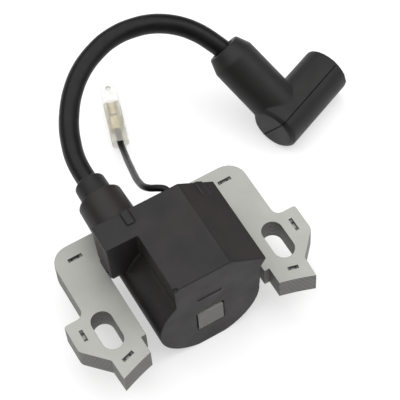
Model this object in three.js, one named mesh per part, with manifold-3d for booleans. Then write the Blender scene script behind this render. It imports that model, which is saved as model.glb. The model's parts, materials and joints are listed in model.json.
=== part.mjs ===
// A flywheel-magneto ignition coil for a small engine, in millimetres, +Z up.
//
// An E-shaped stack of steel laminations carries a plastic coil case on its centre leg. The two
// outer legs end in pole faces that ride close to the flywheel's rim, and a lug with a slot on each
// outer leg bolts the coil to the engine. A high-tension lead leaves a stepped boss at the back and
// ends in a right-angle spark-plug boot. A thin stop-switch wire ends in a blade terminal.
//
// X runs across the legs, Y from the flywheel to the crossbar, and Z out of the laminations. The
// coil stands on the flat under its barrel at Z = 0.
import * as THREE from "three";
import { mergeVertices } from "three/addons/utils/BufferGeometryUtils.js";
import Module from "manifold-3d";

const wasm = await Module();
wasm.setup();

// Clearance between pieces that rest on or pass through each other.
const GAP = 0.3;
const SNUG = 0.1;

// Laminated core. The slots' centres set its place: SLOT_X to each side, at SLOT_Y.
const SHEETS = 10;
const SHEET_PITCH = 0.85;
const SHEET_THICKNESS = 0.83;
const CORE_TOP = 18.9;
const CORE_BOTTOM = CORE_TOP - SHEETS * SHEET_PITCH;
const SLOT_X = 30;
const SLOT_Y = -12.7;
const SLOT_RADIUS = 3.4;
const SLOT_HALF_TRAVEL = 3.45;
const LEG_OUTER_X = 33.75;
const LEG_INNER_X = 20.65;
const LUG_X = 40.8;
const LUG_FRONT_Y = -14.7;
const LUG_BACK_Y = -4.9;
const LUG_FILLET = 2.5;
const LUG_CORNER = 1;
const TIP_STEP_Y = -20;
const TIP_INNER_X = 22.4;
const TIP_OUTER_X = 33.4;
const TIP_SHOULDER_Y = -22.3;
const CENTRE_LEG_HALF = 4.35;
const CENTRE_LEG_FRONT = -22.9;
const CROSSBAR_FRONT = 6.6;
const CORE_BACK = 19.5;
const CORE_CORNER = 6.2;
const CORE_MIDDLE = (CORE_TOP + CORE_BOTTOM) / 2;

// The outer legs' pole faces lie on the flywheel's running circle.
const FLYWHEEL_RADIUS = 90.7;
const FLYWHEEL_Y = -113.8;

// Staking marks that lock the sheets together: [x, y, turn in degrees, length].
const STAKES = [
  [26.7, 14.4, 0, 4.5],
  [37.0, -10.6, 90, 4.6],
  [28.8, -23.5, -16, 3.3],
  [-26.7, 14.4, 0, 4.7],
  [-37.0, -10.6, 90, 4.0],
  [-28.8, -23.5, 16, 4.1],
];
const STAKE_WIDTH = 1.15;
const STAKE_DEPTH = 1.4;
const STAKED_SHEETS = 2;

// Coil case: a barrel round the windings, under a head that holds the circuit.
const WALL = 1.8;
const BARREL_RADIUS = 17.4;
const BARREL_Z = 16.8;
const CASE_FRONT = -22.7;
const BARREL_BACK = 6.3;
const HEAD_BACK = 8.9;
const HEAD_LEFT = -11;
const HEAD_TOP = 40.8;
const CREASE_X = 7.9;
const SHOULDER_X = 20;
const SHOULDER_Z = 31.9;
const UNDERCUT_X = 18.1;
const UNDERCUT_Z = 28.4;
const WINDOW_HEADROOM = 1.3;
const TOP_PAD = { x0: -12, x1: -9.3, y0: 3.7 };
const SHOULDER_PAD = { x0: 13.8, x1: 16.1, y0: 3.8 };
const PAD_HEIGHT = 0.6;
const NICK_WIDTH = 1.2;
const NICK_LENGTH = 0.9;
const NICK_DEPTH = 0.7;
const FLANGE_LEFT = -21.6;
const FLANGE_FRONT = -0.7;
const FLANGE_BOTTOM = 23.2;
const FLANGE_FOOT_FRONT = 3.8;
const FLANGE_FOOT_LEFT = -20.9;

// High-tension boss, on its own axis along Y.
const BOSS_X = -12.5;
const BOSS_Z = 30;
const BOSS_END = 22.1;
const BOSS_ROOT_RADIUS = 7.7;
const BOSS_END_RADIUS = 7.3;
const BOSS_BORE_RADIUS = 4.75;
const BOSS_BORE_BOTTOM = 10.6;
const COLLAR_END = 29.5;
const COLLAR_RADIUS = 5;
const COLLAR_BORE_RADIUS = 3.6;

// Windings round the centre leg.
const PRIMARY_TUBE_HALF = 5.5;
const PRIMARY_FLANGE_RADIUS = 8.6;
const PRIMARY_WINDING_HALF = 7;
const PRIMARY_WINDING_CORNER = 4;
const SECONDARY_INNER_RADIUS = 9;
const SECONDARY_TUBE_RADIUS = 9.8;
const SECONDARY_FLANGE_RADIUS = 13.3;
const SECONDARY_WINDING_RADIUS = 12.8;
const BOBBIN_FRONT = -20.6;
const BOBBIN_BACK = 2.4;
const BOBBIN_FLANGE = 0.9;

// Potting plug that closes the back of the case, and the window that it fills in the head's back.
const POTTING_FRONT = 3;
const POTTING_WINDOW = [
  [-4, 22],
  [15.5, 22],
  [15.5, 32.2],
  [8.8, 37.8],
  [-4, 37.8],
];

// Circuit board in the head.
const BOARD = { x0: -8.4, x1: 10.6, y0: -18.5, y1: 1.6, z0: 34, z1: 35.2 };

// High-tension lead: an insulating jacket round a stranded core.
const LEAD_RADIUS = 3.25;
const LEAD_BORE_RADIUS = 1.5;
const LEAD_CORE_RADIUS = 1;
// The lead starts at this Y in the boss and ends this far from the elbow in the boot, and the
// contacts reach this far into each end of it.
const LEAD_START = 14;
const LEAD_END = 12;
const SPIKE_REACH = 4;

// Spark-plug boot. Its elbow is where the two arms' axes cross. The cable arm points back along
// the lead and rises by BOOT_TILT, and the plug arm lies level at a right angle to it.
const ELBOW = new THREE.Vector3(60.3, 31.6, 8.4);
const BOOT_TURN = THREE.MathUtils.degToRad(22.3);
const BOOT_TILT = THREE.MathUtils.degToRad(32);
const CABLE_ARM_LENGTH = 30.3;
const CABLE_ARM_RADIUS = 7.7;
const CABLE_ARM_ROOT_RADIUS = 7.8;
const CABLE_ARM_MOUTH_RADIUS = 5.8;
const CABLE_ARM_CHAMFER = 4.8;
const CABLE_BORE_RADIUS = 3.9;
const PLUG_ARM_LENGTH = 22.3;
const PLUG_ARM_RADIUS = 8.3;
const PLUG_ARM_CAP = 7.8;
const PLUG_ARM_CAP_CHAMFER = 1.2;
const PLUG_BORE_RADIUS = 5.8;
const PLUG_BORE_BOTTOM = -4.5;
const CLIP_RADIUS = 4.8;
const CLIP_WALL = 0.6;
const CLIP_FRONT = 8.5;
const CLIP_BACK = -3.5;

// Stop-switch wire and its terminal. The terminal's own frame starts at the sleeve's wire end and
// runs along +Y to the blade's tip.
const KILL_WIRE_RADIUS = 1.1;
const KILL_EXIT_X = 5.6;
const KILL_EXIT_Z = 35.4;
const GROMMET_RADIUS = 2;
const TERMINAL_AT = new THREE.Vector3(9.4, 54, 2.25);
const TERMINAL_TURN = THREE.MathUtils.degToRad(-17.6);
const SLEEVE_LENGTH = 16.6;
const SLEEVE_HALF_WIDTH = 2.85;
const SLEEVE_HALF_HEIGHT = 2.15;
const SLEEVE_WALL = 0.25;
// Each crimp: where it starts and ends, its half width and height, and its round bore's radius.
const INSULATION_CRIMP = { y0: 5.6, y1: 10.7, halfWidth: 2.4, halfHeight: 1.6, bore: 1.2 };
const STRAND_CRIMP = { y0: 11.4, y1: 16.1, halfWidth: 1.8, halfHeight: 1.6, bore: 0.8 };
const BLADE_HALF_WIDTH = 2.45;
const BLADE_CORNER = 1.5;
const BLADE_START = 16.9;
const BLADE_TIP = 25.8;
const BLADE_HALF_THICKNESS = 0.4;

// Route of the high-tension lead's axis: straight out of the boss, round in a loop that the stiff
// lead holds up by itself, and down into the boot's cable arm.
const LEAD_ROUTE = [
  [-12.5, 22, 30],
  [-12.5, 29.5, 30],
  [-12.5, 33.3, 30],
  [-12.3, 37, 30.1],
  [-11.7, 40.9, 30.3],
  [-10.6, 44.7, 30.7],
  [-9.3, 48.3, 31.1],
  [-7.6, 51.8, 31.6],
  [-5.6, 55.1, 32.1],
  [-3.4, 58.2, 32.6],
  [-0.8, 61.1, 33.2],
  [2, 63.7, 33.7],
  [5.1, 66, 34.1],
  [8.4, 67.9, 34.4],
  [11.9, 69.4, 34.7],
  [15.5, 70.6, 34.9],
  [19.2, 71.3, 34.9],
  [22.8, 71.6, 34.7],
  [26.4, 71.4, 34.4],
  [29.9, 70.9, 34],
  [33.3, 70, 33.4],
  [36.5, 68.7, 32.6],
  [39.6, 67.1, 31.5],
  [42.4, 65.1, 30.3],
  [44.8, 62.8, 29],
  [46.9, 60.3, 27.5],
];

// Route of the stop-switch wire's axis, from its grommet to the terminal's sleeve.
const KILL_ROUTE = [
  [5.6, 9.2, 35.4],
  [5.6, 10.6, 35.4],
  [5, 12.4, 35.3],
  [3.6, 14, 34.7],
  [2, 15.8, 33.5],
  [1.1, 18.6, 31.2],
  [1.3, 22, 28.2],
  [2.1, 26.5, 24.2],
  [3.4, 31.5, 19.6],
  [4.9, 37, 14.6],
  [6.3, 42.2, 9.9],
  [7.6, 46.8, 6.1],
  [8.6, 50.6, 3.6],
];

const steel = material(0xb4b4ad, 0.45, 0.75);
const casePlastic = material(0x3a3836, 0.5, 0);
const resin = material(0x1b1a19, 0.3, 0);
const bobbinPlastic = material(0xd8cdb0, 0.6, 0);
const copper = material(0xa65a30, 0.35, 0.8);
const boardGreen = material(0x2c5a38, 0.6, 0);
const chipBlack = material(0x1a1a1c, 0.5, 0);
const ceramic = material(0xc9b48a, 0.6, 0);
const brass = material(0xb99a52, 0.35, 0.9);
const tin = material(0xd0d0ce, 0.3, 0.9);
const leadJacket = material(0x232222, 0.35, 0);
const rubber = material(0x383736, 0.6, 0);
const sleevePlastic = material(0xe8e6da, 0.4, 0);

function material(color, roughness, metalness) {
  return new THREE.MeshStandardMaterial({ color, roughness, metalness });
}

// ---- Solids: making, joining and cutting -------------------------------------------------------

// A closed geometry as a solid that can be joined and cut.
function solid(geometry) {
  const bare = new THREE.BufferGeometry();
  bare.setAttribute("position", geometry.getAttribute("position"));
  bare.setIndex(geometry.getIndex());
  const merged = mergeVertices(bare, 1e-4);
  const mesh = new wasm.Mesh({
    numProp: 3,
    vertProperties: merged.attributes.position.array,
    triVerts: new Uint32Array(merged.index.array),
  });
  return new wasm.Manifold(mesh);
}

// A solid back as a geometry with flat faces.
function surface(made) {
  const { vertProperties, triVerts } = made.getMesh();
  const shared = new THREE.BufferGeometry();
  shared.setAttribute("position", new THREE.BufferAttribute(vertProperties, 3));
  shared.setIndex(new THREE.BufferAttribute(triVerts, 1));
  const geometry = shared.toNonIndexed();
  geometry.computeVertexNormals();
  return geometry;
}

function block(x0, x1, y0, y1, z0, z1) {
  const box = new THREE.BoxGeometry(x1 - x0, y1 - y0, z1 - z0);
  return solid(box.translate((x0 + x1) / 2, (y0 + y1) / 2, (z0 + z1) / 2));
}

// A round bar or cone along Y, from radius r0 at y0 to radius r1 at y1.
function coneY(x, z, r0, r1, y0, y1, sides = 48) {
  const cylinder = new THREE.CylinderGeometry(r1, r0, y1 - y0, sides);
  return solid(cylinder.translate(x, (y0 + y1) / 2, z));
}

function rodY(x, z, radius, y0, y1, sides = 48) {
  return coneY(x, z, radius, radius, y0, y1, sides);
}

// A round bar or cone along X, from radius r0 at x0 to radius r1 at x1.
function coneX(r0, r1, x0, x1, sides = 48) {
  const cylinder = new THREE.CylinderGeometry(r1, r0, x1 - x0, sides);
  return solid(cylinder.rotateZ(-Math.PI / 2).translate((x0 + x1) / 2, 0, 0));
}

function rodZ(x, y, radius, z0, z1, sides = 32) {
  const cylinder = new THREE.CylinderGeometry(radius, radius, z1 - z0, sides);
  return solid(cylinder.rotateX(Math.PI / 2).translate(x, y, (z0 + z1) / 2));
}

// A closed outline of [x, y] points as a shape.
function outline(points) {
  return new THREE.Shape(points.map(([x, y]) => new THREE.Vector2(x, y)));
}

// An outline in the XY plane, standing from z0 to z1.
function prismZ(shape, z0, z1) {
  const flat = new THREE.ExtrudeGeometry(shape, {
    depth: z1 - z0,
    bevelEnabled: false,
    curveSegments: 10,
  });
  return solid(flat.translate(0, 0, z0));
}

// An outline in the XZ plane, running from y0 to y1.
function prismY(shape, y0, y1) {
  const flat = new THREE.ExtrudeGeometry(shape, {
    depth: y1 - y0,
    bevelEnabled: false,
    curveSegments: 10,
  });
  return solid(flat.rotateX(Math.PI / 2).translate(0, y1, 0));
}

// An outline in the YZ plane, running from x0 to x1.
function prismX(shape, x0, x1) {
  const flat = new THREE.ExtrudeGeometry(shape, {
    depth: x1 - x0,
    bevelEnabled: false,
    curveSegments: 10,
  });
  return solid(flat.rotateY(Math.PI / 2).rotateX(Math.PI / 2).translate(x0, 0, 0));
}

// A closed ring of [radius, y] points turned about the Y axis, and moved to x and z.
function turnedY(profile, x, z, sides = 48) {
  const points = [...profile, profile[0]].map(([radius, y]) => new THREE.Vector2(radius, y));
  return new THREE.LatheGeometry(points, sides).translate(x, 0, z);
}

// Points on an arc, angles in degrees.
function arc(x, y, radius, from, to, steps) {
  return Array.from({ length: steps + 1 }, (_, i) => {
    const angle = THREE.MathUtils.degToRad(from + ((to - from) * i) / steps);
    return [x + radius * Math.cos(angle), y + radius * Math.sin(angle)];
  });
}

// A stadium: two half circles of the given radius, their centres `half` each side along Y.
function stadium(x, y, radius, half) {
  const path = new THREE.Path();
  path.absarc(x, y + half, radius, 0, Math.PI, false);
  path.absarc(x, y - half, radius, Math.PI, 2 * Math.PI, false);
  path.closePath();
  return path;
}

// A rectangle with rounded corners, centred on x and y.
function roundedRectangle(x, y, halfWidth, halfHeight, radius) {
  return outline([
    ...arc(x + halfWidth - radius, y + halfHeight - radius, radius, 0, 90, 4),
    ...arc(x - halfWidth + radius, y + halfHeight - radius, radius, 90, 180, 4),
    ...arc(x - halfWidth + radius, y - halfHeight + radius, radius, 180, 270, 4),
    ...arc(x + halfWidth - radius, y - halfHeight + radius, radius, 270, 360, 4),
  ]);
}

function part(name, geometry, look) {
  const mesh = new THREE.Mesh(geometry, look);
  mesh.name = name;
  return mesh;
}

// ---- Laminated core ----------------------------------------------------------------------------

function polePoint(x) {
  return [x, FLYWHEEL_Y + Math.sqrt(FLYWHEEL_RADIUS ** 2 - x ** 2)];
}

// A curve that rounds a lug's corner, between the points before and after it.
function roundedCorner(before, corner, after, steps = 4) {
  const middle = new THREE.Vector2(...corner);
  const [start, end] = [before, after].map((point) =>
    new THREE.Vector2(...point).sub(middle).setLength(LUG_CORNER).add(middle),
  );
  const curve = new THREE.QuadraticBezierCurve(start, middle, end);
  return curve.getPoints(steps).map(({ x, y }) => [x, y]);
}

// The right half of a sheet, from the middle of the centre leg's end round to the back edge.
function halfSheet() {
  const poleSteps = 4;
  const poleFace = Array.from({ length: poleSteps + 1 }, (_, i) =>
    polePoint(TIP_INNER_X + ((TIP_OUTER_X - TIP_INNER_X) * i) / poleSteps),
  );
  return [
    [CENTRE_LEG_HALF, CENTRE_LEG_FRONT],
    [CENTRE_LEG_HALF, CROSSBAR_FRONT],
    ...arc(LEG_INNER_X - 1, CROSSBAR_FRONT - 1, 1, 90, 0, 3),
    [LEG_INNER_X, TIP_STEP_Y],
    [TIP_INNER_X, TIP_STEP_Y],
    ...poleFace,
    [LEG_OUTER_X, TIP_SHOULDER_Y],
    ...roundedCorner([LEG_OUTER_X, TIP_SHOULDER_Y], [LUG_X, LUG_FRONT_Y], [LUG_X, LUG_BACK_Y]),
    ...roundedCorner([LUG_X, LUG_FRONT_Y], [LUG_X, LUG_BACK_Y], [LEG_OUTER_X, LUG_BACK_Y]),
    ...arc(LEG_OUTER_X + LUG_FILLET, LUG_BACK_Y + LUG_FILLET, LUG_FILLET, 270, 180, 4),
    ...arc(LEG_OUTER_X - CORE_CORNER, CORE_BACK - CORE_CORNER, CORE_CORNER, 0, 90, 6),
  ];
}

function sheetShape() {
  const right = halfSheet();
  const left = right.map(([x, y]) => [-x, y]).reverse();
  const shape = outline([...right, ...left]);
  shape.holes = [-SLOT_X, SLOT_X].map((x) => stadium(x, SLOT_Y, SLOT_RADIUS, SLOT_HALF_TRAVEL));
  return shape;
}

// A staking mark: a slot with upright sides, pressed down from both its ends to a short floor.
function stake(x, y, turn, length) {
  const shape = outline([
    [-length / 2, 0.1],
    [-length / 2, -0.15],
    [-length / 6, -STAKE_DEPTH],
    [length / 6, -STAKE_DEPTH],
    [length / 2, -0.15],
    [length / 2, 0.1],
  ]);
  return prismY(shape, -STAKE_WIDTH / 2, STAKE_WIDTH / 2)
    .rotate([0, 0, turn])
    .translate([x, y, CORE_TOP - SHEET_PITCH + SHEET_THICKNESS]);
}

function laminations() {
  return Array.from({ length: SHEETS }, (_, i) => {
    const z0 = CORE_BOTTOM + i * SHEET_PITCH;
    let sheet = prismZ(sheetShape(), z0, z0 + SHEET_THICKNESS);
    if (i >= SHEETS - STAKED_SHEETS) {
      for (const mark of STAKES) {
        sheet = sheet.subtract(stake(...mark));
      }
    }
    const number = String(i + 1).padStart(2, "0");
    return part(`core_lamination_${number}`, surface(sheet), steel);
  });
}

// ---- Coil case ---------------------------------------------------------------------------------

// The head's section: a level top, a sloping right shoulder and an undercut down to the barrel.
// `inset` moves every side in by a wall's thickness.
function headSection(inset) {
  return outline([
    [HEAD_LEFT + inset, BARREL_Z],
    [BARREL_RADIUS - inset, BARREL_Z],
    [UNDERCUT_X - inset, UNDERCUT_Z],
    [SHOULDER_X - 1.17 * inset, SHOULDER_Z - 0.4 * inset],
    [CREASE_X - 0.35 * inset, HEAD_TOP - inset],
    [HEAD_LEFT + inset, HEAD_TOP - inset],
  ]);
}

// Barrel and head together, `inset` inside the outer surface.
function bodySolid(inset, y0, barrelY1, headY1) {
  const barrel = rodY(0, BARREL_Z, BARREL_RADIUS - inset, y0, barrelY1, 72);
  return barrel.add(prismY(headSection(inset), y0, headY1));
}

// The flange on the head's left end, with a foot that comes down to the core behind the leg.
function flange() {
  const upper = outline([
    [FLANGE_LEFT + 0.5, FLANGE_BOTTOM],
    [HEAD_LEFT + WALL, FLANGE_BOTTOM],
    [HEAD_LEFT + WALL, HEAD_TOP],
    [FLANGE_LEFT, HEAD_TOP],
  ]);
  const foot = block(
    FLANGE_FOOT_LEFT,
    HEAD_LEFT + WALL,
    FLANGE_FOOT_FRONT,
    HEAD_BACK,
    CORE_TOP + GAP,
    FLANGE_BOTTOM + 1,
  );
  return prismY(upper, FLANGE_FRONT, HEAD_BACK).add(foot);
}

function flangePocket() {
  return block(
    FLANGE_LEFT + WALL + 0.3,
    HEAD_LEFT + WALL + 0.5,
    FLANGE_FRONT + WALL,
    HEAD_BACK - WALL,
    FLANGE_BOTTOM + WALL,
    HEAD_TOP - WALL,
  );
}

// Height of the sloping shoulder at x.
function shoulderAt(x) {
  return HEAD_TOP - ((x - CREASE_X) * (HEAD_TOP - SHOULDER_Z)) / (SHOULDER_X - CREASE_X);
}

// Two small locating pads at the back edge, one on the level top and one on the shoulder.
function locatingPads() {
  const { x0, x1, y0 } = TOP_PAD;
  const left = block(x0, x1, y0, HEAD_BACK, HEAD_TOP - 1, HEAD_TOP + PAD_HEIGHT);
  const right = outline([
    [SHOULDER_PAD.x0, shoulderAt(SHOULDER_PAD.x0) - 1],
    [SHOULDER_PAD.x1, shoulderAt(SHOULDER_PAD.x1) - 1],
    [SHOULDER_PAD.x1, shoulderAt(SHOULDER_PAD.x1) + PAD_HEIGHT],
    [SHOULDER_PAD.x0, shoulderAt(SHOULDER_PAD.x0) + PAD_HEIGHT],
  ]);
  return left.add(prismY(right, SHOULDER_PAD.y0, HEAD_BACK));
}

// A nick in the front left corner of the level top.
function cornerNick() {
  return block(
    HEAD_LEFT - 1,
    HEAD_LEFT + NICK_WIDTH,
    CASE_FRONT - 1,
    CASE_FRONT + NICK_LENGTH,
    HEAD_TOP - NICK_DEPTH,
    HEAD_TOP + 1,
  );
}

// A raised bar over the window, in place of the moulded marking.
function markingBar() {
  return block(-3.7, 4.3, CASE_FRONT - 0.3, CASE_FRONT + 0.5, 27.2, 28.2);
}

function coilCase() {
  const room = BARREL_BACK + 5;
  const aboveCrossbar = CORE_TOP + GAP;
  const nearCore = block(-30, 30, BARREL_BACK, room + 30, -5, aboveCrossbar);
  const belowGround = block(-30, 30, -40, 30, -5, 0);
  const window = block(
    -CENTRE_LEG_HALF - GAP,
    CENTRE_LEG_HALF + GAP,
    CASE_FRONT - 1,
    CASE_FRONT + WALL + 1,
    CORE_BOTTOM - GAP,
    CORE_TOP + WINDOW_HEADROOM,
  );
  const outer = bodySolid(0, CASE_FRONT, BARREL_BACK, HEAD_BACK)
    .subtract(nearCore)
    .add(flange())
    .add(coneY(BOSS_X, BOSS_Z, BOSS_ROOT_RADIUS, BOSS_END_RADIUS, HEAD_BACK - 1, BOSS_END, 56))
    .add(locatingPads())
    .add(markingBar())
    .subtract(belowGround);
  return outer
    .subtract(bodySolid(WALL, CASE_FRONT + WALL, room, HEAD_BACK - WALL))
    .subtract(flangePocket())
    .subtract(prismY(outline(POTTING_WINDOW), POTTING_FRONT, HEAD_BACK + 1))
    .subtract(rodY(BOSS_X, BOSS_Z, BOSS_BORE_RADIUS, BOSS_BORE_BOTTOM, BOSS_END + 1))
    .subtract(rodY(BOSS_X, BOSS_Z, 1.2, FLANGE_FRONT + WALL, BOSS_BORE_BOTTOM + 1, 24))
    .subtract(cornerNick())
    .subtract(window);
}

// The potting compound at the open back of the case, round the core's leg and the wires.
function pottingResin() {
  const inCase = bodySolid(WALL + SNUG, POTTING_FRONT, BARREL_BACK - GAP, HEAD_BACK - WALL - SNUG);
  const windowShape = outline(
    POTTING_WINDOW.map(([x, z]) => [x - Math.sign(x) * SNUG, z - Math.sign(z - 30) * SNUG]),
  );
  const leg = block(
    -CENTRE_LEG_HALF - GAP,
    CENTRE_LEG_HALF + GAP,
    POTTING_FRONT - 1,
    HEAD_BACK,
    CORE_BOTTOM - GAP,
    CORE_TOP + GAP,
  );
  const crossbar = block(-30, 30, BARREL_BACK - GAP, HEAD_BACK + 1, -5, CORE_TOP + GAP);
  const wire = rodY(KILL_EXIT_X, KILL_EXIT_Z, GROMMET_RADIUS + SNUG, POTTING_FRONT - 1, HEAD_BACK + 1, 24);
  const strapRoom = block(10.3, 13.7, POTTING_FRONT - 1, HEAD_BACK + 1, 23.6, 24.9);
  return inCase
    .add(prismY(windowShape, POTTING_FRONT, HEAD_BACK - 0.4))
    .subtract(leg)
    .subtract(crossbar)
    .subtract(wire)
    .subtract(strapRoom);
}

// The sleeve that seals the lead into the boss, with a spigot inside the boss's bore.
function leadCollar() {
  const profile = [
    [COLLAR_BORE_RADIUS, BOSS_BORE_BOTTOM + 6],
    [BOSS_BORE_RADIUS - SNUG, BOSS_BORE_BOTTOM + 6],
    [BOSS_BORE_RADIUS - SNUG, BOSS_END + 0.05],
    [COLLAR_RADIUS + 0.2, BOSS_END + 0.05],
    [COLLAR_RADIUS, COLLAR_END - 0.6],
    [COLLAR_RADIUS - 0.6, COLLAR_END],
    [COLLAR_BORE_RADIUS, COLLAR_END],
  ];
  return turnedY(profile, BOSS_X, BOSS_Z, 40);
}

// ---- Windings ----------------------------------------------------------------------------------

// A square tube on the centre leg with a round flange at each end.
function primaryBobbin() {
  const tube = prismY(
    roundedRectangle(0, CORE_MIDDLE, PRIMARY_TUBE_HALF, PRIMARY_TUBE_HALF, 0.8),
    BOBBIN_FRONT,
    BOBBIN_BACK,
  );
  const hole = block(
    -CENTRE_LEG_HALF - GAP,
    CENTRE_LEG_HALF + GAP,
    BOBBIN_FRONT - 1,
    BOBBIN_BACK + 1,
    CORE_BOTTOM - GAP,
    CORE_TOP + GAP,
  );
  const flanges = [BOBBIN_FRONT, BOBBIN_BACK - BOBBIN_FLANGE].map((y) =>
    rodY(0, CORE_MIDDLE, PRIMARY_FLANGE_RADIUS, y, y + BOBBIN_FLANGE),
  );
  return tube.add(flanges[0]).add(flanges[1]).subtract(hole);
}

function primaryWinding() {
  const outer = roundedRectangle(
    0,
    CORE_MIDDLE,
    PRIMARY_WINDING_HALF,
    PRIMARY_WINDING_HALF,
    PRIMARY_WINDING_CORNER,
  );
  const bore = roundedRectangle(
    0,
    CORE_MIDDLE,
    PRIMARY_TUBE_HALF + SNUG,
    PRIMARY_TUBE_HALF + SNUG,
    0.8,
  );
  const y0 = BOBBIN_FRONT + BOBBIN_FLANGE + SNUG;
  const y1 = BOBBIN_BACK - BOBBIN_FLANGE - SNUG;
  return prismY(outer, y0, y1).subtract(prismY(bore, y0 - 1, y1 + 1));
}

function secondaryBobbin() {
  const profile = [
    [SECONDARY_INNER_RADIUS, BOBBIN_FRONT],
    [SECONDARY_FLANGE_RADIUS, BOBBIN_FRONT],
    [SECONDARY_FLANGE_RADIUS, BOBBIN_FRONT + BOBBIN_FLANGE],
    [SECONDARY_TUBE_RADIUS, BOBBIN_FRONT + BOBBIN_FLANGE],
    [SECONDARY_TUBE_RADIUS, BOBBIN_BACK - BOBBIN_FLANGE],
    [SECONDARY_FLANGE_RADIUS, BOBBIN_BACK - BOBBIN_FLANGE],
    [SECONDARY_FLANGE_RADIUS, BOBBIN_BACK],
    [SECONDARY_INNER_RADIUS, BOBBIN_BACK],
  ];
  return turnedY(profile, 0, CORE_MIDDLE);
}

function secondaryWinding() {
  const y0 = BOBBIN_FRONT + BOBBIN_FLANGE + SNUG;
  const y1 = BOBBIN_BACK - BOBBIN_FLANGE - SNUG;
  const profile = [
    [SECONDARY_TUBE_RADIUS + SNUG, y0],
    [SECONDARY_WINDING_RADIUS, y0],
    [SECONDARY_WINDING_RADIUS, y1],
    [SECONDARY_TUBE_RADIUS + SNUG, y1],
  ];
  return turnedY(profile, 0, CORE_MIDDLE);
}

// ---- Circuit -----------------------------------------------------------------------------------

// A component on the board: its middle, its length, width and height, and how it looks.
function component(name, x, y, length, width, height, look) {
  const foot = BOARD.z1 + 0.05;
  const body = new THREE.BoxGeometry(length, width, height);
  return part(name, body.translate(x, y, foot + height / 2), look);
}

function circuit() {
  const board = block(BOARD.x0, BOARD.x1, BOARD.y0, BOARD.y1, BOARD.z0, BOARD.z1);
  return [
    part("circuit_board", surface(board), boardGreen),
    component("power_transistor", -3.2, -13.5, 8, 7, 2.6, chipBlack),
    component("control_chip", 5, -13.8, 5, 4, 1.5, chipBlack),
    component("timing_capacitor", -4.6, -5.2, 4.5, 3.2, 1.8, ceramic),
    component("snubber_diode", 4.6, -7.2, 4.3, 2.6, 1.6, chipBlack),
    component("bias_resistor_front", 0.6, -6, 1.6, 3.2, 0.6, ceramic),
    component("bias_resistor_back", 0.6, -1.4, 1.6, 3.2, 0.6, ceramic),
  ];
}

// The screw at the bottom of the boss that runs into the lead's core.
function leadSpike() {
  const tip = LEAD_START + SPIKE_REACH - GAP;
  return rodY(BOSS_X, BOSS_Z, 2.4, 2, 3, 24).add(coneY(BOSS_X, BOSS_Z, 1, 0.5, 2.5, tip, 16));
}

// The wire from the secondary winding up to the spike.
function secondaryLink() {
  const from = new THREE.Vector3(-6.9, 1, CORE_MIDDLE + 11.9);
  const to = new THREE.Vector3(BOSS_X + 2.7, 2.5, BOSS_Z - 0.4);
  const along = to.clone().sub(from);
  const wire = new THREE.CylinderGeometry(0.35, 0.35, along.length(), 8);
  const turn = new THREE.Quaternion().setFromUnitVectors(
    new THREE.Vector3(0, 1, 0),
    along.clone().normalize(),
  );
  const middle = from.clone().add(to).multiplyScalar(0.5);
  return wire.applyQuaternion(turn).translate(middle.x, middle.y, middle.z);
}

// A strap out of the potting that bends down and rests on the crossbar, the coil's earth.
function groundStrap() {
  const level = 24.5;
  const foot = CORE_TOP + SNUG;
  const outer = HEAD_BACK + 0.7;
  const shape = outline([
    [POTTING_FRONT + 1, level - 0.4],
    [outer - 0.4, level - 0.4],
    [outer - 0.4, foot],
    [outer + 4, foot],
    [outer + 4, foot + 0.4],
    [outer, foot + 0.4],
    [outer, level],
    [POTTING_FRONT + 1, level],
  ]);
  return prismX(shape, 10.6, 13.4);
}

// ---- High-tension lead and boot ----------------------------------------------------------------

function ring(radius, sides) {
  return arc(0, 0, radius, 0, 360 - 360 / sides, sides - 1);
}

// A tube of the given section along a smooth curve through the route.
function tubeAlong(route, shape, steps) {
  const curve = new THREE.CatmullRomCurve3(route.map((point) => new THREE.Vector3(...point)));
  return new THREE.ExtrudeGeometry(shape, { steps, extrudePath: curve, bevelEnabled: false });
}

// The boot's frame: X along the plug arm, Y along the cable arm, from the elbow.
function bootFrame() {
  const frame = new THREE.Group();
  frame.position.copy(ELBOW);
  frame.rotation.set(BOOT_TILT, 0, BOOT_TURN, "ZYX");
  frame.updateMatrix();
  return frame;
}

// The lead's route, from startY in the boss to endAlong in the boot's cable arm.
function leadRoute(startY, endAlong) {
  const frame = bootFrame();
  const insideBoot = [27.5, 22, endAlong].map((along) =>
    new THREE.Vector3(0, along, 0).applyMatrix4(frame.matrix).toArray(),
  );
  return [[BOSS_X, startY, BOSS_Z], ...LEAD_ROUTE, ...insideBoot];
}

function leadPieces() {
  const jacketShape = outline(ring(LEAD_RADIUS, 12));
  jacketShape.holes = [outline(ring(LEAD_BORE_RADIUS, 12))];
  const coreShape = outline(ring(LEAD_CORE_RADIUS, 8));
  const jacketRoute = leadRoute(LEAD_START, LEAD_END);
  const coreRoute = leadRoute(LEAD_START + SPIKE_REACH, LEAD_END + SPIKE_REACH);
  return [
    part("ht_lead_jacket", tubeAlong(jacketRoute, jacketShape, 28), leadJacket),
    part("ht_lead_conductor", tubeAlong(coreRoute, coreShape, 28), copper),
  ];
}

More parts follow.
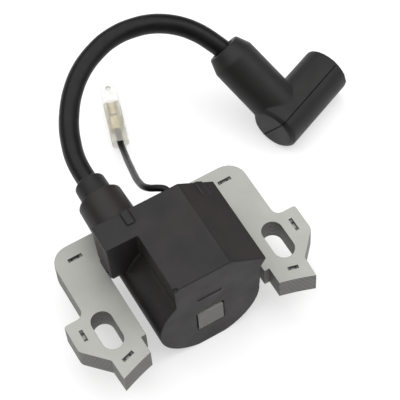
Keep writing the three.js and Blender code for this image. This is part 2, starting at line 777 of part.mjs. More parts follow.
// The hollow elbow of the boot: a chamfered cable arm into the side of a closed plug arm.
function plugBoot() {
  const chamferStart = CABLE_ARM_LENGTH - CABLE_ARM_CHAMFER;
  const capChamfer = -PLUG_ARM_CAP + PLUG_ARM_CAP_CHAMFER;
  return coneY(0, 0, CABLE_ARM_ROOT_RADIUS, CABLE_ARM_RADIUS, 0, chamferStart)
    .add(coneY(0, 0, CABLE_ARM_RADIUS, CABLE_ARM_MOUTH_RADIUS, chamferStart, CABLE_ARM_LENGTH))
    .add(coneX(PLUG_ARM_RADIUS, PLUG_ARM_RADIUS, capChamfer, PLUG_ARM_LENGTH))
    .add(coneX(PLUG_ARM_RADIUS - PLUG_ARM_CAP_CHAMFER, PLUG_ARM_RADIUS, -PLUG_ARM_CAP, capChamfer))
    .subtract(rodY(0, 0, CABLE_BORE_RADIUS, 0, CABLE_ARM_LENGTH + 1, 40))
    .subtract(coneX(PLUG_BORE_RADIUS, PLUG_BORE_RADIUS, PLUG_BORE_BOTTOM, PLUG_ARM_LENGTH + 1));
}

// The spring clip that grips the plug's terminal, and its spike into the end of the lead's core.
function terminalClip() {
  const barrel = coneX(CLIP_RADIUS, CLIP_RADIUS, CLIP_BACK, CLIP_FRONT, 32);
  const bore = coneX(CLIP_RADIUS - CLIP_WALL, CLIP_RADIUS - CLIP_WALL, CLIP_BACK - 1, CLIP_FRONT + 1, 32);
  const slot = block(CLIP_BACK - 1, CLIP_FRONT + 1, -CLIP_RADIUS - 1, 0, -0.8, 0.8);
  return barrel
    .subtract(bore)
    .subtract(slot)
    .add(coneY(0, 0, 1, 0.5, CLIP_RADIUS - 0.4, LEAD_END + SPIKE_REACH - GAP, 16));
}

function bootPieces() {
  const boot = bootFrame();
  boot.add(
    part("plug_boot", surface(plugBoot()), rubber),
    part("plug_terminal_clip", surface(terminalClip()), brass),
  );
  return boot;
}

// ---- Stop-switch wire and terminal -------------------------------------------------------------

function grommet() {
  const profile = [
    [KILL_WIRE_RADIUS + SNUG, POTTING_FRONT + 1],
    [GROMMET_RADIUS, POTTING_FRONT + 1],
    [GROMMET_RADIUS, HEAD_BACK + 0.1],
    [GROMMET_RADIUS - 0.5, HEAD_BACK + 1],
    [KILL_WIRE_RADIUS + SNUG, HEAD_BACK + 1],
  ];
  return turnedY(profile, KILL_EXIT_X, KILL_EXIT_Z, 24);
}

function terminalFrame() {
  const frame = new THREE.Group();
  frame.position.copy(TERMINAL_AT);
  frame.rotation.z = TERMINAL_TURN;
  frame.updateMatrix();
  return frame;
}

// The wire's route, from inside the grommet to the terminal's crimp.
function killRoute() {
  const frame = terminalFrame();
  const insideSleeve = [0, 3, 6, 9.4].map((along) =>
    new THREE.Vector3(0, along, 0).applyMatrix4(frame.matrix).toArray(),
  );
  return [[KILL_EXIT_X, POTTING_FRONT + 2, KILL_EXIT_Z], ...KILL_ROUTE, ...insideSleeve];
}

// A crimp: an oval barrel rolled round the wire.
function crimp({ y0, y1, halfWidth, halfHeight, bore }) {
  const barrel = prismY(roundedRectangle(0, 0, halfWidth, halfHeight, halfHeight - 0.1), y0, y1);
  return barrel.subtract(rodY(0, 0, bore, y0 - 1, y1 + 1, 24));
}

// Blade, strip and two crimp barrels, from one folded sheet of tinned brass.
function killTerminal() {
  const blade = outline([
    [-BLADE_HALF_WIDTH, BLADE_START],
    [BLADE_HALF_WIDTH, BLADE_START],
    ...arc(BLADE_HALF_WIDTH - BLADE_CORNER, BLADE_TIP - BLADE_CORNER, BLADE_CORNER, 0, 90, 4),
    ...arc(-BLADE_HALF_WIDTH + BLADE_CORNER, BLADE_TIP - BLADE_CORNER, BLADE_CORNER, 90, 180, 4),
  ]);
  const strip = block(-1, 1, INSULATION_CRIMP.y0, BLADE_START + 0.4, -1.55, -1.1);
  const step = block(-1, 1, BLADE_START - 0.4, BLADE_START + 0.4, -1.55, BLADE_HALF_THICKNESS);
  return prismZ(blade, -BLADE_HALF_THICKNESS, BLADE_HALF_THICKNESS)
    .add(strip)
    .add(step)
    .add(crimp(INSULATION_CRIMP))
    .add(crimp(STRAND_CRIMP))
    .subtract(rodZ(0, BLADE_TIP - 3, 0.95, -2, 2, 24));
}

// The clear sleeve, an oval tube that slides along the terminal.
function terminalSleeve() {
  const outer = roundedRectangle(
    0,
    0,
    SLEEVE_HALF_WIDTH,
    SLEEVE_HALF_HEIGHT,
    SLEEVE_HALF_HEIGHT - 0.1,
  );
  const bore = roundedRectangle(
    0,
    0,
    SLEEVE_HALF_WIDTH - SLEEVE_WALL,
    SLEEVE_HALF_HEIGHT - SLEEVE_WALL,
    SLEEVE_HALF_HEIGHT - SLEEVE_WALL - 0.1,
  );
  return prismY(outer, 0, SLEEVE_LENGTH).subtract(prismY(bore, -1, SLEEVE_LENGTH + 1));
}

function terminalPieces() {
  const frame = terminalFrame();
  frame.add(
    part("kill_terminal", surface(killTerminal()), tin),
    part("kill_wire_strands", surface(rodY(0, 0, 0.65, 10.2, 16.3, 12)), copper),
    part("kill_terminal_sleeve", surface(terminalSleeve()), sleevePlastic),
  );
  return frame;
}

// ---- Assembly ----------------------------------------------------------------------------------

const coil = new THREE.Group();
coil.add(
  ...laminations(),
  part("coil_case", surface(coilCase()), casePlastic),
  part("potting_resin", surface(pottingResin()), resin),
  part("ht_lead_collar", leadCollar(), rubber),
  part("primary_bobbin", surface(primaryBobbin()), bobbinPlastic),
  part("primary_winding", surface(primaryWinding()), copper),
  part("secondary_bobbin", secondaryBobbin(), bobbinPlastic),
  part("secondary_winding", secondaryWinding(), copper),
  ...circuit(),
  part("ht_lead_spike", surface(leadSpike()), brass),
  part("secondary_link_wire", secondaryLink(), copper),
  part("ground_strap", surface(groundStrap()), tin),
  ...leadPieces(),
  bootPieces(),
  part("kill_wire_grommet", grommet(), rubber),
  part("kill_wire_jacket", tubeAlong(killRoute(), outline(ring(KILL_WIRE_RADIUS, 8)), 34), leadJacket),
  terminalPieces(),
);

export default coil;
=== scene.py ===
"""Looks for the flywheel-magneto ignition coil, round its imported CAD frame. The scene is in metres."""
import json
import math

import bpy
from mathutils import Matrix, Vector


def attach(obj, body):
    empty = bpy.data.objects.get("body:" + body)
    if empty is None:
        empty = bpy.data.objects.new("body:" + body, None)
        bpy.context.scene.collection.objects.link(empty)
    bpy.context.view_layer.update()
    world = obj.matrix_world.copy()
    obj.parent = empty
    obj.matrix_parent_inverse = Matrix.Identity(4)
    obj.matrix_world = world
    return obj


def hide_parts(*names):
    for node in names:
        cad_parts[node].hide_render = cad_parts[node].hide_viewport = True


MM = 0.001

# Camera, at the photograph's viewing angle: metres, degrees, and millimetres for the lens and sensor.
CAMERA_AT = Vector((-0.1013, -0.2327, 0.4677))
CAMERA_AZIMUTH = -25.7
CAMERA_ELEVATION = 58.8
CAMERA_ROLL = 5.04
CAMERA_LENS = 150.7
SENSOR = 36
CLIP_NEAR = 0.01
CLIP_FAR = 10

# Points made for each stretch of a cord's route, and the roundness of its section.
ROUTE_STEPS = 10
CORD_ROUNDNESS = 8

# High-tension lead: its axis from the boss to the boot's cable arm, in millimetres.
LEAD_RADIUS = 3.25
LEAD_START = (-12.5, 14, 30)
LEAD_ROUTE = [
    (-12.5, 22, 30),
    (-12.5, 29.5, 30),
    (-12.5, 33.3, 30),
    (-12.3, 37, 30.1),
    (-11.7, 40.9, 30.3),
    (-10.6, 44.7, 30.7),
    (-9.3, 48.3, 31.1),
    (-7.6, 51.8, 31.6),
    (-5.6, 55.1, 32.1),
    (-3.4, 58.2, 32.6),
    (-0.8, 61.1, 33.2),
    (2, 63.7, 33.7),
    (5.1, 66, 34.1),
    (8.4, 67.9, 34.4),
    (11.9, 69.4, 34.7),
    (15.5, 70.6, 34.9),
    (19.2, 71.3, 34.9),
    (22.8, 71.6, 34.7),
    (26.4, 71.4, 34.4),
    (29.9, 70.9, 34),
    (33.3, 70, 33.4),
    (36.5, 68.7, 32.6),
    (39.6, 67.1, 31.5),
    (42.4, 65.1, 30.3),
    (44.8, 62.8, 29),
    (46.9, 60.3, 27.5),
]
# The lead's last points, on the axis of the boot's cable arm.
LEAD_IN_BOOT = (27.5, 22, 12)

# Spark-plug boot: X along the plug arm and Y along the cable arm, from the elbow, in millimetres.
ELBOW = (60.3, 31.6, 8.4)
BOOT_TURN = 22.3
BOOT_TILT = 32
PLUG_ARM_LENGTH = 22.3
PLUG_ARM_RADIUS = 8.3

# Moulding line of the plug arm, in millimetres: from just short of the open end to the round cap and
# over it. SEAM_REACH is how far out the rays start that find the surface under it.
SEAM_RADIUS = 0.15
SEAM_ROUNDNESS = 2
SEAM_START = PLUG_ARM_LENGTH - 0.9
SEAM_CAP = -2
SEAM_STEPS = 16
SEAM_CAP_STEPS = 24
SEAM_REACH = 3 * PLUG_ARM_RADIUS

# Stop-switch wire: its axis from the grommet to the terminal's crimp, in millimetres.
KILL_RADIUS = 1.1
KILL_START = (5.6, 5, 35.4)
KILL_ROUTE = [
    (5.6, 9.2, 35.4),
    (5.6, 10.6, 35.4),
    (5, 12.4, 35.3),
    (3.6, 14, 34.7),
    (2, 15.8, 33.5),
    (1.1, 18.6, 31.2),
    (1.3, 22, 28.2),
    (2.1, 26.5, 24.2),
    (3.4, 31.5, 19.6),
    (4.9, 37, 14.6),
    (6.3, 42.2, 9.9),
    (7.6, 46.8, 6.1),
    (8.6, 50.6, 3.6),
]
# The wire's last points, on the terminal's axis.
KILL_IN_SLEEVE = (0, 3, 6, 9.4)

# Stop-switch terminal, in millimetres: Y along the blade, from the sleeve's wire end. Its plate is
# worn to brass as far as the end of its crimps.
TERMINAL_AT = (9.4, 54, 2.25)
TERMINAL_TURN = -17.6
CRIMPS_END = 16.6
WORN_FADE = 0.2

# Noise seldom leaves the middle of its range, so colours and numbers run from one end of that to the other.
NOISE_LOW = 0.3
NOISE_HIGH = 0.7

# The core's upright sheared faces: scale and waviness of their sheet lines, and the upright part of the
# normal between which these faces give way to flat ones. Upright faces are also coloured darker as painted
# shade, for the sides and stake walls that the overhead light misses.
SHEET_LINES = 370
SHEET_WAVINESS = 3
SHADED_CUT_NORMAL = 0.9
FLAT_NORMAL = 0.98

# Scale of the windings' ridges, and cells of grain for each cell of cloud in the sealed pieces.
COPPER_TURNS = 600
GRAIN_IN_CLOUD = 12

# Nodes with a look of their own, apart from their slot's.
OWN_LOOKS = {"kill_terminal": "terminal_plate"}

# Finish of the CAD nodes, in millimetres and degrees.
WELD_GAP = 0.004
FLAT_ANGLE = 0.6
SHARP_ANGLE = 35
BEVEL_ANGLE = 32
BEVEL_SEGMENTS = 3
SHEET_EDGE = 0.07
EDGES = {
    "kill_terminal": 0.08,
    "kill_terminal_sleeve": 0.1,
    "ht_lead_collar": 0.35,
    "potting_resin": 0.2,
    "kill_wire_grommet": 0.15,
}

# Pieces that are rounded all over: cell size in millimetres and smoothing passes.
MOULDED = {"coil_case": (0.25, 4), "plug_boot": (0.3, 8)}
SMOOTHING = 0.5

# Floor and lights, in metres and watts: each softbox has its place, its side and its power.
FLOOR_HALF = 3
FLOOR_DROP = 0.0001
FLOOR_GREY = (0.5, 0.5, 0.5)
FLOOR_ROUGHNESS = 0.8
FLOOR_SPECULAR = 0.1
FLOOR_GLOW = 0.5
SURROUNDINGS = 0.2
LIT_POINT = (0.02, 0.03, 0.02)
SOFTBOXES = {
    "overhead": ((-0.05, 0.2, 0.9), 1.6, 17),
    "key": ((0.6, -0.35, 0.55), 0.7, 3.2),
}
WHITE = (1, 1, 1, 1)

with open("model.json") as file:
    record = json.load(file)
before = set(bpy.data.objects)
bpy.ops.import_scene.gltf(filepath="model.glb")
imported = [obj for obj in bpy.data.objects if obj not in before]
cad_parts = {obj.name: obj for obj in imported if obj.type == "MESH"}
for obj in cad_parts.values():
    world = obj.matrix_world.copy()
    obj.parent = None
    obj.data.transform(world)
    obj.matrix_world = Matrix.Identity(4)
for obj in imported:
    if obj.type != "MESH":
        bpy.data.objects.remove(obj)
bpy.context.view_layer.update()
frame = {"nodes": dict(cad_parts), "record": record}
bpy.context.scene.view_settings.view_transform = "Standard"
nodes = frame["nodes"]
slots = {s["node"]: s["material_slot"] for s in frame["record"]["subparts"]}


# ---- Materials ---------------------------------------------------------------------------------

class Look:
    """A new node material with its Principled shader, and short calls for the nodes it needs."""

    def __init__(self, name, color, roughness, metallic=0.0):
        self.material = bpy.data.materials.new(name)
        self.material.use_nodes = True
        self.tree = self.material.node_tree
        self.shader = self.tree.nodes["Principled BSDF"]
        self.set("Base Color", (*color, 1))
        self.set("Roughness", roughness)
        self.set("Metallic", metallic)

    def set(self, socket, value):
        self.shader.inputs[socket].default_value = value

    def node(self, kind, **values):
        made = self.tree.nodes.new(kind)
        for key, value in values.items():
            setattr(made, key, value)
        return made

    def link(self, source, target):
        self.tree.links.new(source, target)

    def coordinates(self, scale=(1, 1, 1), turn=(0, 0, 0)):
        """Object coordinates, which are row-frame metres, turned and then scaled to cells per metre."""
        place = self.node("ShaderNodeTexCoord")
        mapping = self.node("ShaderNodeMapping")
        mapping.inputs["Rotation"].default_value = turn
        mapping.inputs["Scale"].default_value = scale
        self.link(place.outputs["Object"], mapping.inputs["Vector"])
        return mapping.outputs["Vector"]

    def noise(self, scale, detail=3, stretch=(1, 1, 1)):
        """Noise of about `scale` cells per metre, longer where its stretch is under 1."""
        texture = self.node("ShaderNodeTexNoise")
        texture.inputs["Scale"].default_value = scale
        texture.inputs["Detail"].default_value = detail
        self.link(self.coordinates(stretch), texture.inputs["Vector"])
        return texture.outputs["Fac"]

    def ramp(self, factor, low, high, start=NOISE_LOW, end=NOISE_HIGH):
        """Two colours blended by a factor between start and end."""
        ramp = self.node("ShaderNodeValToRGB")
        first, last = ramp.color_ramp.elements
        first.position, last.position = start, end
        first.color = (*low, 1)
        last.color = (*high, 1)
        self.link(factor, ramp.inputs["Fac"])
        return ramp.outputs["Color"]

    def span(self, factor, low, high, start=NOISE_LOW, end=NOISE_HIGH):
        """A number that runs from low to high as the factor runs from start to end."""
        limits = self.node("ShaderNodeMapRange")
        for socket, value in zip(("From Min", "From Max", "To Min", "To Max"), (start, end, low, high)):
            limits.inputs[socket].default_value = value
        self.link(factor, limits.inputs["Value"])
        return limits.outputs["Result"]

    def bands(self, scale, waviness, direction):
        """Fine bands across a direction, straight where waviness is 0."""
        wave = self.node("ShaderNodeTexWave", bands_direction=direction)
        wave.inputs["Scale"].default_value = scale
        wave.inputs["Distortion"].default_value = waviness
        wave.inputs["Detail Scale"].default_value = 0.4
        self.link(self.coordinates(), wave.inputs["Vector"])
        return wave.outputs["Fac"]

    def mix(self, factor, a, b):
        mix = self.node("ShaderNodeMix", data_type="RGBA")
        self.link(factor, mix.inputs["Factor"])
        self.link(a, mix.inputs["A"])
        self.link(b, mix.inputs["B"])
        return mix.outputs["Result"]

    def color(self, output):
        self.link(output, self.shader.inputs["Base Color"])

    def roughness(self, output):
        self.link(output, self.shader.inputs["Roughness"])

    def bump(self, height, strength, distance):
        bump = self.node("ShaderNodeBump")
        bump.inputs["Strength"].default_value = strength
        bump.inputs["Distance"].default_value = distance
        self.link(height, bump.inputs["Height"])
        self.link(bump.outputs["Normal"], self.shader.inputs["Normal"])


def core_steel():
    """Bare electrical steel: pale and finely rolled on the flats; darker on upright sheared faces, with
    sheet lines, that darkness partly painted shade.
    """
    look = Look("core_steel", (0.47, 0.47, 0.44), roughness=0.5, metallic=0.4)
    cloud = look.noise(90, detail=4)
    rolled = look.noise(500, detail=2, stretch=(1, 0.06, 1))
    flat = look.ramp(cloud, (0.3, 0.3, 0.278), (0.36, 0.36, 0.334))
    lines = look.bands(SHEET_LINES, SHEET_WAVINESS, "Z")
    # Upright faces, stake walls among them, take this darker colour: the sheet lines are real, the darkness
    # partly painted shade for faces the overhead light misses.
    cut_lines_and_shade = look.ramp(lines, (0.05, 0.049, 0.047), (0.25, 0.246, 0.238), start=0.15, end=0.85)
    geometry = look.node("ShaderNodeNewGeometry")
    parts = look.node("ShaderNodeSeparateXYZ")
    look.link(geometry.outputs["True Normal"], parts.inputs["Vector"])
    upright = look.node("ShaderNodeMath", operation="ABSOLUTE")
    look.link(parts.outputs["Z"], upright.inputs[0])
    flatness = look.span(upright.outputs[0], 0, 1, SHADED_CUT_NORMAL, FLAT_NORMAL)
    look.color(look.mix(flatness, cut_lines_and_shade, flat))
    look.roughness(look.span(cloud, 0.5, 0.6))
    look.bump(rolled, strength=0.12, distance=0.00004)
    return look.material


def case_plastic():
    """Glass-filled nylon: charcoal, with a fine spark-eroded grain and faint flow clouds."""
    look = Look("case_plastic", (0.018, 0.016, 0.015), roughness=0.5)
    look.set("Specular IOR Level", 0.26)
    flow = look.noise(60)
    look.color(look.ramp(flow, (0.0085, 0.0083, 0.0087), (0.0165, 0.0125, 0.012), start=0.35, end=0.65))
    look.roughness(look.span(look.noise(140), 0.42, 0.54))
    look.bump(look.noise(3200, detail=2), strength=0.35, distance=0.00005)
    return look.material


def potting():
    """Cast epoxy: near black and glossy, with a slow ripple where it set."""
    look = Look("potting", (0.018, 0.017, 0.016), roughness=0.22)
    look.color(look.ramp(look.noise(110, detail=2), (0.014, 0.013, 0.013), (0.024, 0.022, 0.021)))
    look.bump(look.noise(160, detail=2), strength=0.5, distance=0.0003)
    return look.material


def lead_jacket():
    """Extruded rubber insulation: black and satin, with faint scuffs."""
    look = Look("lead_jacket", (0.006, 0.006, 0.006), roughness=0.4)
    look.set("Specular IOR Level", 0.2)
    cloud = look.noise(240)
    look.color(look.ramp(cloud, (0.003, 0.003, 0.0032), (0.006, 0.0058, 0.006), start=0.35, end=0.7))
    look.roughness(look.span(look.noise(420, detail=4), 0.36, 0.44, start=0.35, end=0.7))
    look.bump(look.noise(1400, detail=2), strength=0.06, distance=0.00003)
    return look.material


def boot_rubber():
    """Moulded rubber: charcoal and satin, with a soft bloom."""
    look = Look("boot_rubber", (0.016, 0.0155, 0.015), roughness=0.46)
    look.set("Specular IOR Level", 0.24)
    look.color(look.ramp(look.noise(70, detail=4), (0.0065, 0.0063, 0.0062), (0.012, 0.0112, 0.0108)))
    look.roughness(look.span(look.noise(180), 0.44, 0.56))
    look.bump(look.noise(2600, detail=2), strength=0.25, distance=0.00004)
    look.set("Sheen Weight", 0.04)
    look.set("Sheen Roughness", 0.5)
    return look.material


def tinned_metal():
    """Tin plate: bright silver, lightly mottled."""
    look = Look("tinned_metal", (0.6, 0.6, 0.59), roughness=0.3, metallic=0.7)
    look.color(look.ramp(look.noise(700), (0.5, 0.5, 0.49), (0.62, 0.62, 0.61)))
    look.roughness(look.span(look.noise(500), 0.24, 0.4))
    look.bump(look.noise(1800, detail=2, stretch=(1, 0.2, 1)), strength=0.15, distance=0.00003)
    return look.material


def terminal_plate():
    """The stop-switch terminal's tin plate, yellowed on its crimps."""
    look = Look("terminal_plate", (0.6, 0.6, 0.59), roughness=0.34, metallic=0.5)
    mottle = look.noise(700)
    tin = look.ramp(mottle, (0.56, 0.56, 0.55), (0.66, 0.66, 0.65))
    worn = look.ramp(mottle, (0.42, 0.34, 0.19), (0.74, 0.66, 0.47))
    turn = math.radians(TERMINAL_TURN)
    along = look.node("ShaderNodeSeparateXYZ")
    look.link(look.coordinates(turn=(0, 0, -turn)), along.inputs["Vector"])
    crimps_end = (Matrix.Rotation(-turn, 3, "Z") @ Vector(TERMINAL_AT)).y + CRIMPS_END
    on_blade = look.span(along.outputs["Y"], 0, 1, crimps_end * MM, (crimps_end + WORN_FADE) * MM)
    look.color(look.mix(on_blade, worn, tin))
    look.bump(look.noise(1200, detail=2), strength=0.15, distance=0.00003)
    return look.material


def terminal_brass():
    """Spring brass: yellow, a little tarnished."""
    look = Look("terminal_brass", (0.62, 0.46, 0.2), roughness=0.32, metallic=0.9)
    look.color(look.ramp(look.noise(400), (0.48, 0.34, 0.14), (0.7, 0.53, 0.25)))
    look.bump(look.noise(1500, detail=2), strength=0.15, distance=0.00003)
    return look.material


def copper():
    """Enamelled copper wire, with the fine ridges of its turns."""
    look = Look("copper", (0.55, 0.25, 0.12), roughness=0.3, metallic=0.8)
    look.color(look.ramp(look.noise(300), (0.44, 0.19, 0.09), (0.62, 0.3, 0.15)))
    look.bump(look.bands(COPPER_TURNS, 0, "Y"), strength=0.5, distance=0.0001)
    return look.material


def moulded(name, low, high, roughness, cells):
    """A plain moulded piece, with `cells` of cloud per metre, for what is sealed inside the case."""
    look = Look(name, high, roughness)
    look.color(look.ramp(look.noise(cells), low, high))
    look.bump(look.noise(cells * GRAIN_IN_CLOUD, detail=2), strength=0.2, distance=0.00004)
    return look.material


def parting_shade_line():
    """A moulding's parting line, dull and darker than the rubber as painted shade along its step."""
    look = Look("parting_shade", (0.002, 0.002, 0.002), roughness=1)
    look.set("Specular IOR Level", 0.02)
    look.color(look.ramp(look.noise(300, detail=2), (0.001, 0.001, 0.001), (0.003, 0.003, 0.003)))
    return look.material


def sleeve_clear():
    """Soft clear vinyl, milky where it is thick."""
    look = Look("sleeve_clear", (0.95, 0.94, 0.9), roughness=0.3)
    look.color(look.ramp(look.noise(260, detail=2), (0.84, 0.83, 0.76), (0.93, 0.92, 0.88)))
    look.set("Transmission Weight", 0.82)
    look.set("IOR", 1.12)
    look.bump(look.noise(500), strength=0.15, distance=0.00005)
    return look.material


looks = {
    "core_steel": core_steel(),
    "case_plastic": case_plastic(),
    "potting": potting(),
    "lead_jacket": lead_jacket(),
    "boot_rubber": boot_rubber(),
    "tinned_metal": tinned_metal(),
    "terminal_plate": terminal_plate(),
    "terminal_brass": terminal_brass(),
    "copper": copper(),
    "bobbin_plastic": moulded("bobbin_plastic", (0.55, 0.48, 0.34), (0.68, 0.61, 0.45), 0.6, 200),
    "board": moulded("board", (0.03, 0.11, 0.05), (0.045, 0.15, 0.07), 0.45, 300),
    "chip_black": moulded("chip_black", (0.012, 0.012, 0.013), (0.022, 0.022, 0.024), 0.5, 400),
    "component_ceramic": moulded("component_ceramic", (0.5, 0.39, 0.23), (0.6, 0.48, 0.3), 0.6, 300),
    "sleeve_clear": sleeve_clear(),
    "parting_shade": parting_shade_line(),
}


# ---- Camera ------------------------------------------------------------------------------------

def make_camera():
    data = bpy.data.cameras.new("camera")
    camera = bpy.data.objects.new("camera", data)
    bpy.context.scene.collection.objects.link(camera)
    azimuth = math.radians(CAMERA_AZIMUTH)
    elevation = math.radians(CAMERA_ELEVATION)
    roll = math.radians(CAMERA_ROLL)
    level = Vector((math.cos(azimuth), math.sin(azimuth), 0))
    outward = Vector((math.sin(azimuth), -math.cos(azimuth), 0))
    back = outward * math.cos(elevation) + Vector((0, 0, math.sin(elevation)))
    right = level * math.cos(roll) - back.cross(level) * math.sin(roll)
    up = back.cross(right)
    turned = Matrix((right, up, back)).transposed().to_4x4()
    camera.matrix_world = Matrix.Translation(CAMERA_AT) @ turned
    data.sensor_width = SENSOR
    data.lens = CAMERA_LENS
    data.clip_start = CLIP_NEAR
    data.clip_end = CLIP_FAR
    bpy.context.scene.camera = camera


# ---- Curves ------------------------------------------------------------------------------------

def frame_matrix(at, turn, tilt=0):
    """The place of a turned and tilted group, in millimetres."""
    rotation = Matrix.Rotation(math.radians(turn), 4, "Z") @ Matrix.Rotation(math.radians(tilt), 4, "X")
    return Matrix.Translation(Vector(at)) @ rotation


def smooth_route(points):
    """Points of the centripetal Catmull-Rom curve through a route."""
    route = [Vector(p) for p in points]
    route = [2 * route[0] - route[1], *route, 2 * route[-1] - route[-2]]
    made = []
    for p0, p1, p2, p3 in zip(route, route[1:], route[2:], route[3:]):
        gaps = [math.sqrt((b - a).length) for a, b in ((p0, p1), (p1, p2), (p2, p3))]
        m1 = ((p1 - p0) / gaps[0] - (p2 - p0) / (gaps[0] + gaps[1]) + (p2 - p1) / gaps[1]) * gaps[1]
        m2 = ((p2 - p1) / gaps[1] - (p3 - p1) / (gaps[1] + gaps[2]) + (p3 - p2) / gaps[2]) * gaps[1]
        for i in range(ROUTE_STEPS):
            t = i / ROUTE_STEPS
            made.append(
                (2 * t**3 - 3 * t**2 + 1) * p1
                + (t**3 - 2 * t**2 + t) * m1
                + (3 * t**2 - 2 * t**3) * p2
                + (t**3 - t**2) * m2
            )
    return [*made, route[-2]]


def cord_curve(name, points, radius, roundness=CORD_ROUNDNESS):
    """A round cord along points in millimetres."""
    data = bpy.data.curves.new(name, "CURVE")
    data.dimensions = "3D"
    data.bevel_depth = radius * MM
    data.bevel_resolution = roundness
    data.use_fill_caps = True
    spline = data.splines.new("POLY")
    spline.points.add(len(points) - 1)
    for point, place in zip(spline.points, points):
        point.co = (*(place * MM), 1)
    spline.use_smooth = True
    made = bpy.data.objects.new(name, data)
    bpy.context.scene.collection.objects.link(made)
    return made


def length_of(points):
    """The length in metres of a line through points in millimetres."""
    return sum((b - a).length for a, b in zip(points, points[1:])) * MM


def on_axis(place, distances):
    """Points at distances along a group's Y axis."""
    return [place @ Vector((0, y, 0)) for y in distances]


def make_cords():
    """Both cords, which stand for their CAD jackets, and their lengths."""
    in_boot = on_axis(frame_matrix(ELBOW, BOOT_TURN, BOOT_TILT), LEAD_IN_BOOT)
    in_sleeve = on_axis(frame_matrix(TERMINAL_AT, TERMINAL_TURN), KILL_IN_SLEEVE)
    lead_points = smooth_route([LEAD_START, *LEAD_ROUTE, *in_boot])
    kill_points = smooth_route([KILL_START, *KILL_ROUTE, *in_sleeve])
    lead = cord_curve("ht_lead", lead_points, LEAD_RADIUS)
    kill = cord_curve("kill_wire", kill_points, KILL_RADIUS)
    for piece, node in ((lead, "ht_lead_jacket"), (kill, "kill_wire_jacket")):
        piece.data.materials.append(looks["lead_jacket"])
        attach(piece, "coil")
        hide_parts(node)
    return lead, kill, length_of(lead_points), length_of(kill_points)


make_camera()
lead, kill, lead_length, kill_length = make_cords()


# ---- CAD nodes ---------------------------------------------------------------------------------

def smooth_by_angle():
    """Geometry nodes that shade smooth, and keep the sharper edges sharp."""
    tree = bpy.data.node_groups.new("smooth_by_angle", "GeometryNodeTree")
    tree.interface.new_socket("Geometry", in_out="INPUT", socket_type="NodeSocketGeometry")
    tree.interface.new_socket("Geometry", in_out="OUTPUT", socket_type="NodeSocketGeometry")
    source = tree.nodes.new("NodeGroupInput")
    target = tree.nodes.new("NodeGroupOutput")
    faces = tree.nodes.new("GeometryNodeSetShadeSmooth")
    faces.domain = "FACE"
    edges = tree.nodes.new("GeometryNodeSetShadeSmooth")
    edges.domain = "EDGE"
    edges.inputs["Shade Smooth"].default_value = False
    angle = tree.nodes.new("GeometryNodeInputMeshEdgeAngle")
    over = tree.nodes.new("FunctionNodeCompare")
    over.data_type = "FLOAT"
    over.operation = "GREATER_THAN"
    over.inputs[1].default_value = math.radians(SHARP_ANGLE)
    tree.links.new(angle.outputs["Unsigned Angle"], over.inputs[0])
    tree.links.new(source.outputs[0], faces.inputs["Geometry"])
    tree.links.new(faces.outputs["Geometry"], edges.inputs["Geometry"])
    tree.links.new(over.outputs["Result"], edges.inputs["Selection"])
    tree.links.new(edges.outputs["Geometry"], target.inputs[0])
    return tree


SMOOTH = smooth_by_angle()


def take_look(name):
    """A CAD node with its material, and with its doubled corners welded."""
    node = nodes[name]
    node.data.materials.clear()
    node.data.materials.append(looks[OWN_LOOKS.get(name, slots[name])])
    weld = node.modifiers.new("weld", "WELD")
    weld.merge_threshold = WELD_GAP * MM
    return node


def shade(node):
    """Smooth shading that leaves the flat faces flat."""
    node.modifiers.new("smooth", "NODES").node_group = SMOOTH
    flats = node.modifiers.new("flats", "WEIGHTED_NORMAL")
    flats.keep_sharp = True


def eased(name, edge):
    """A CAD node with its crisp edges eased by `edge` mm."""
    node = take_look(name)
    planar = node.modifiers.new("planar", "DECIMATE")
    planar.decimate_type = "DISSOLVE"
    planar.angle_limit = math.radians(FLAT_ANGLE)
    if edge:
        bevel = node.modifiers.new("bevel", "BEVEL")
        bevel.width = edge * MM
        bevel.segments = BEVEL_SEGMENTS
        bevel.limit_method = "ANGLE"
        bevel.angle_limit = math.radians(BEVEL_ANGLE)
        bevel.use_clamp_overlap = True
    shade(node)


def moulded_node(name, cell, passes):
    """A CAD node with every edge and inner corner rounded, as a moulding has them."""
    node = take_look(name)
    remesh = node.modifiers.new("remesh", "REMESH")
    remesh.mode = "VOXEL"
    remesh.voxel_size = cell * MM
    remesh.use_smooth_shade = True
    smooth = node.modifiers.new("round", "SMOOTH")
    smooth.factor = SMOOTHING
    smooth.iterations = passes


for name in nodes:
    if name in MOULDED:
        moulded_node(name, *MOULDED[name])
    elif name.startswith("core_lamination"):
        eased(name, SHEET_EDGE)
    else:
        eased(name, EDGES.get(name, 0))


# ---- Details -----------------------------------------------------------------------------------

def on_surface(node, place, start, toward):
    """The point where a ray meets a node's finished surface, all in a group's millimetres."""
    to_node = node.matrix_world.inverted() @ Matrix.Scale(MM, 4) @ place
    origin = to_node @ Vector(start)
    direction = (to_node @ Vector(toward) - origin).normalized()
    finished = node.evaluated_get(bpy.context.evaluated_depsgraph_get())
    point = finished.ray_cast(origin, direction)[1]
    return to_node.inverted() @ point


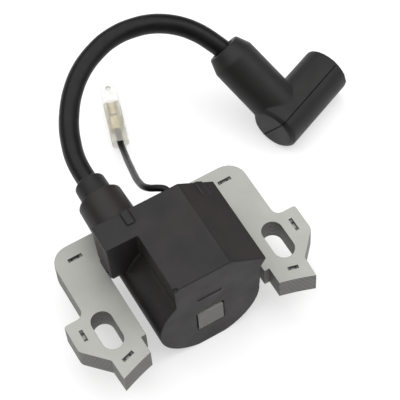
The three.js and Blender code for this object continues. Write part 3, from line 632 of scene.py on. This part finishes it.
def boot_seam():
    """The moulding line that runs along the plug arm, over its closed cap and back."""
    place = frame_matrix(ELBOW, BOOT_TURN, BOOT_TILT)
    boot = nodes["plug_boot"]
    along = [SEAM_START + (SEAM_CAP - SEAM_START) * i / SEAM_STEPS for i in range(SEAM_STEPS + 1)]
    rays = [((x, 0, SEAM_REACH), (x, 0, 0)) for x in along]
    for i in range(1, SEAM_CAP_STEPS):
        angle = math.pi / 2 + math.pi * i / SEAM_CAP_STEPS
        outside = (SEAM_CAP + SEAM_REACH * math.cos(angle), 0, SEAM_REACH * math.sin(angle))
        rays.append((outside, (SEAM_CAP, 0, 0)))
    rays += [((x, 0, -SEAM_REACH), (x, 0, 0)) for x in reversed(along)]
    line = [place @ on_surface(boot, place, *ray) for ray in rays]
    made = cord_curve("boot_seam", line, SEAM_RADIUS, SEAM_ROUNDNESS)
    # Its near-black, dull colour is painted shade along the moulding's step.
    made.data.materials.append(looks["parting_shade"])
    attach(made, "plug_cap")


boot_seam()


# ---- Stage -------------------------------------------------------------------------------------

def make_stage():
    """A plain pale floor under the coil, which glows a little so that shadows stay soft."""
    corners = [(-1, -1), (1, -1), (1, 1), (-1, 1)]
    floor = bpy.data.meshes.new("floor")
    floor.from_pydata([(x * FLOOR_HALF, y * FLOOR_HALF, 0) for x, y in corners], [], [(0, 1, 2, 3)])
    made = bpy.data.objects.new("floor", floor)
    bpy.context.scene.collection.objects.link(made)
    made.location.z = -FLOOR_DROP
    look = Look("floor", FLOOR_GREY, FLOOR_ROUGHNESS)
    look.set("Specular IOR Level", FLOOR_SPECULAR)
    look.set("Emission Color", WHITE)
    look.set("Emission Strength", FLOOR_GLOW)
    floor.materials.append(look.material)


def softbox(name, place, side, power):
    """A square area light that faces the coil."""
    data = bpy.data.lights.new(name, "AREA")
    data.shape = "RECTANGLE"
    data.size = side
    data.size_y = side
    data.energy = power
    light = bpy.data.objects.new(name, data)
    bpy.context.scene.collection.objects.link(light)
    light.location = place
    light.rotation_euler = (Vector(LIT_POINT) - Vector(place)).to_track_quat("-Z", "Y").to_euler()


def make_lights():
    """White surroundings and the softboxes."""
    world = bpy.data.worlds.new("studio")
    bpy.context.scene.world = world
    world.use_nodes = True
    background = world.node_tree.nodes["Background"]
    background.inputs["Color"].default_value = WHITE
    background.inputs["Strength"].default_value = SURROUNDINGS
    for name, setup in SOFTBOXES.items():
        softbox(name, *setup)


make_stage()
make_lights()
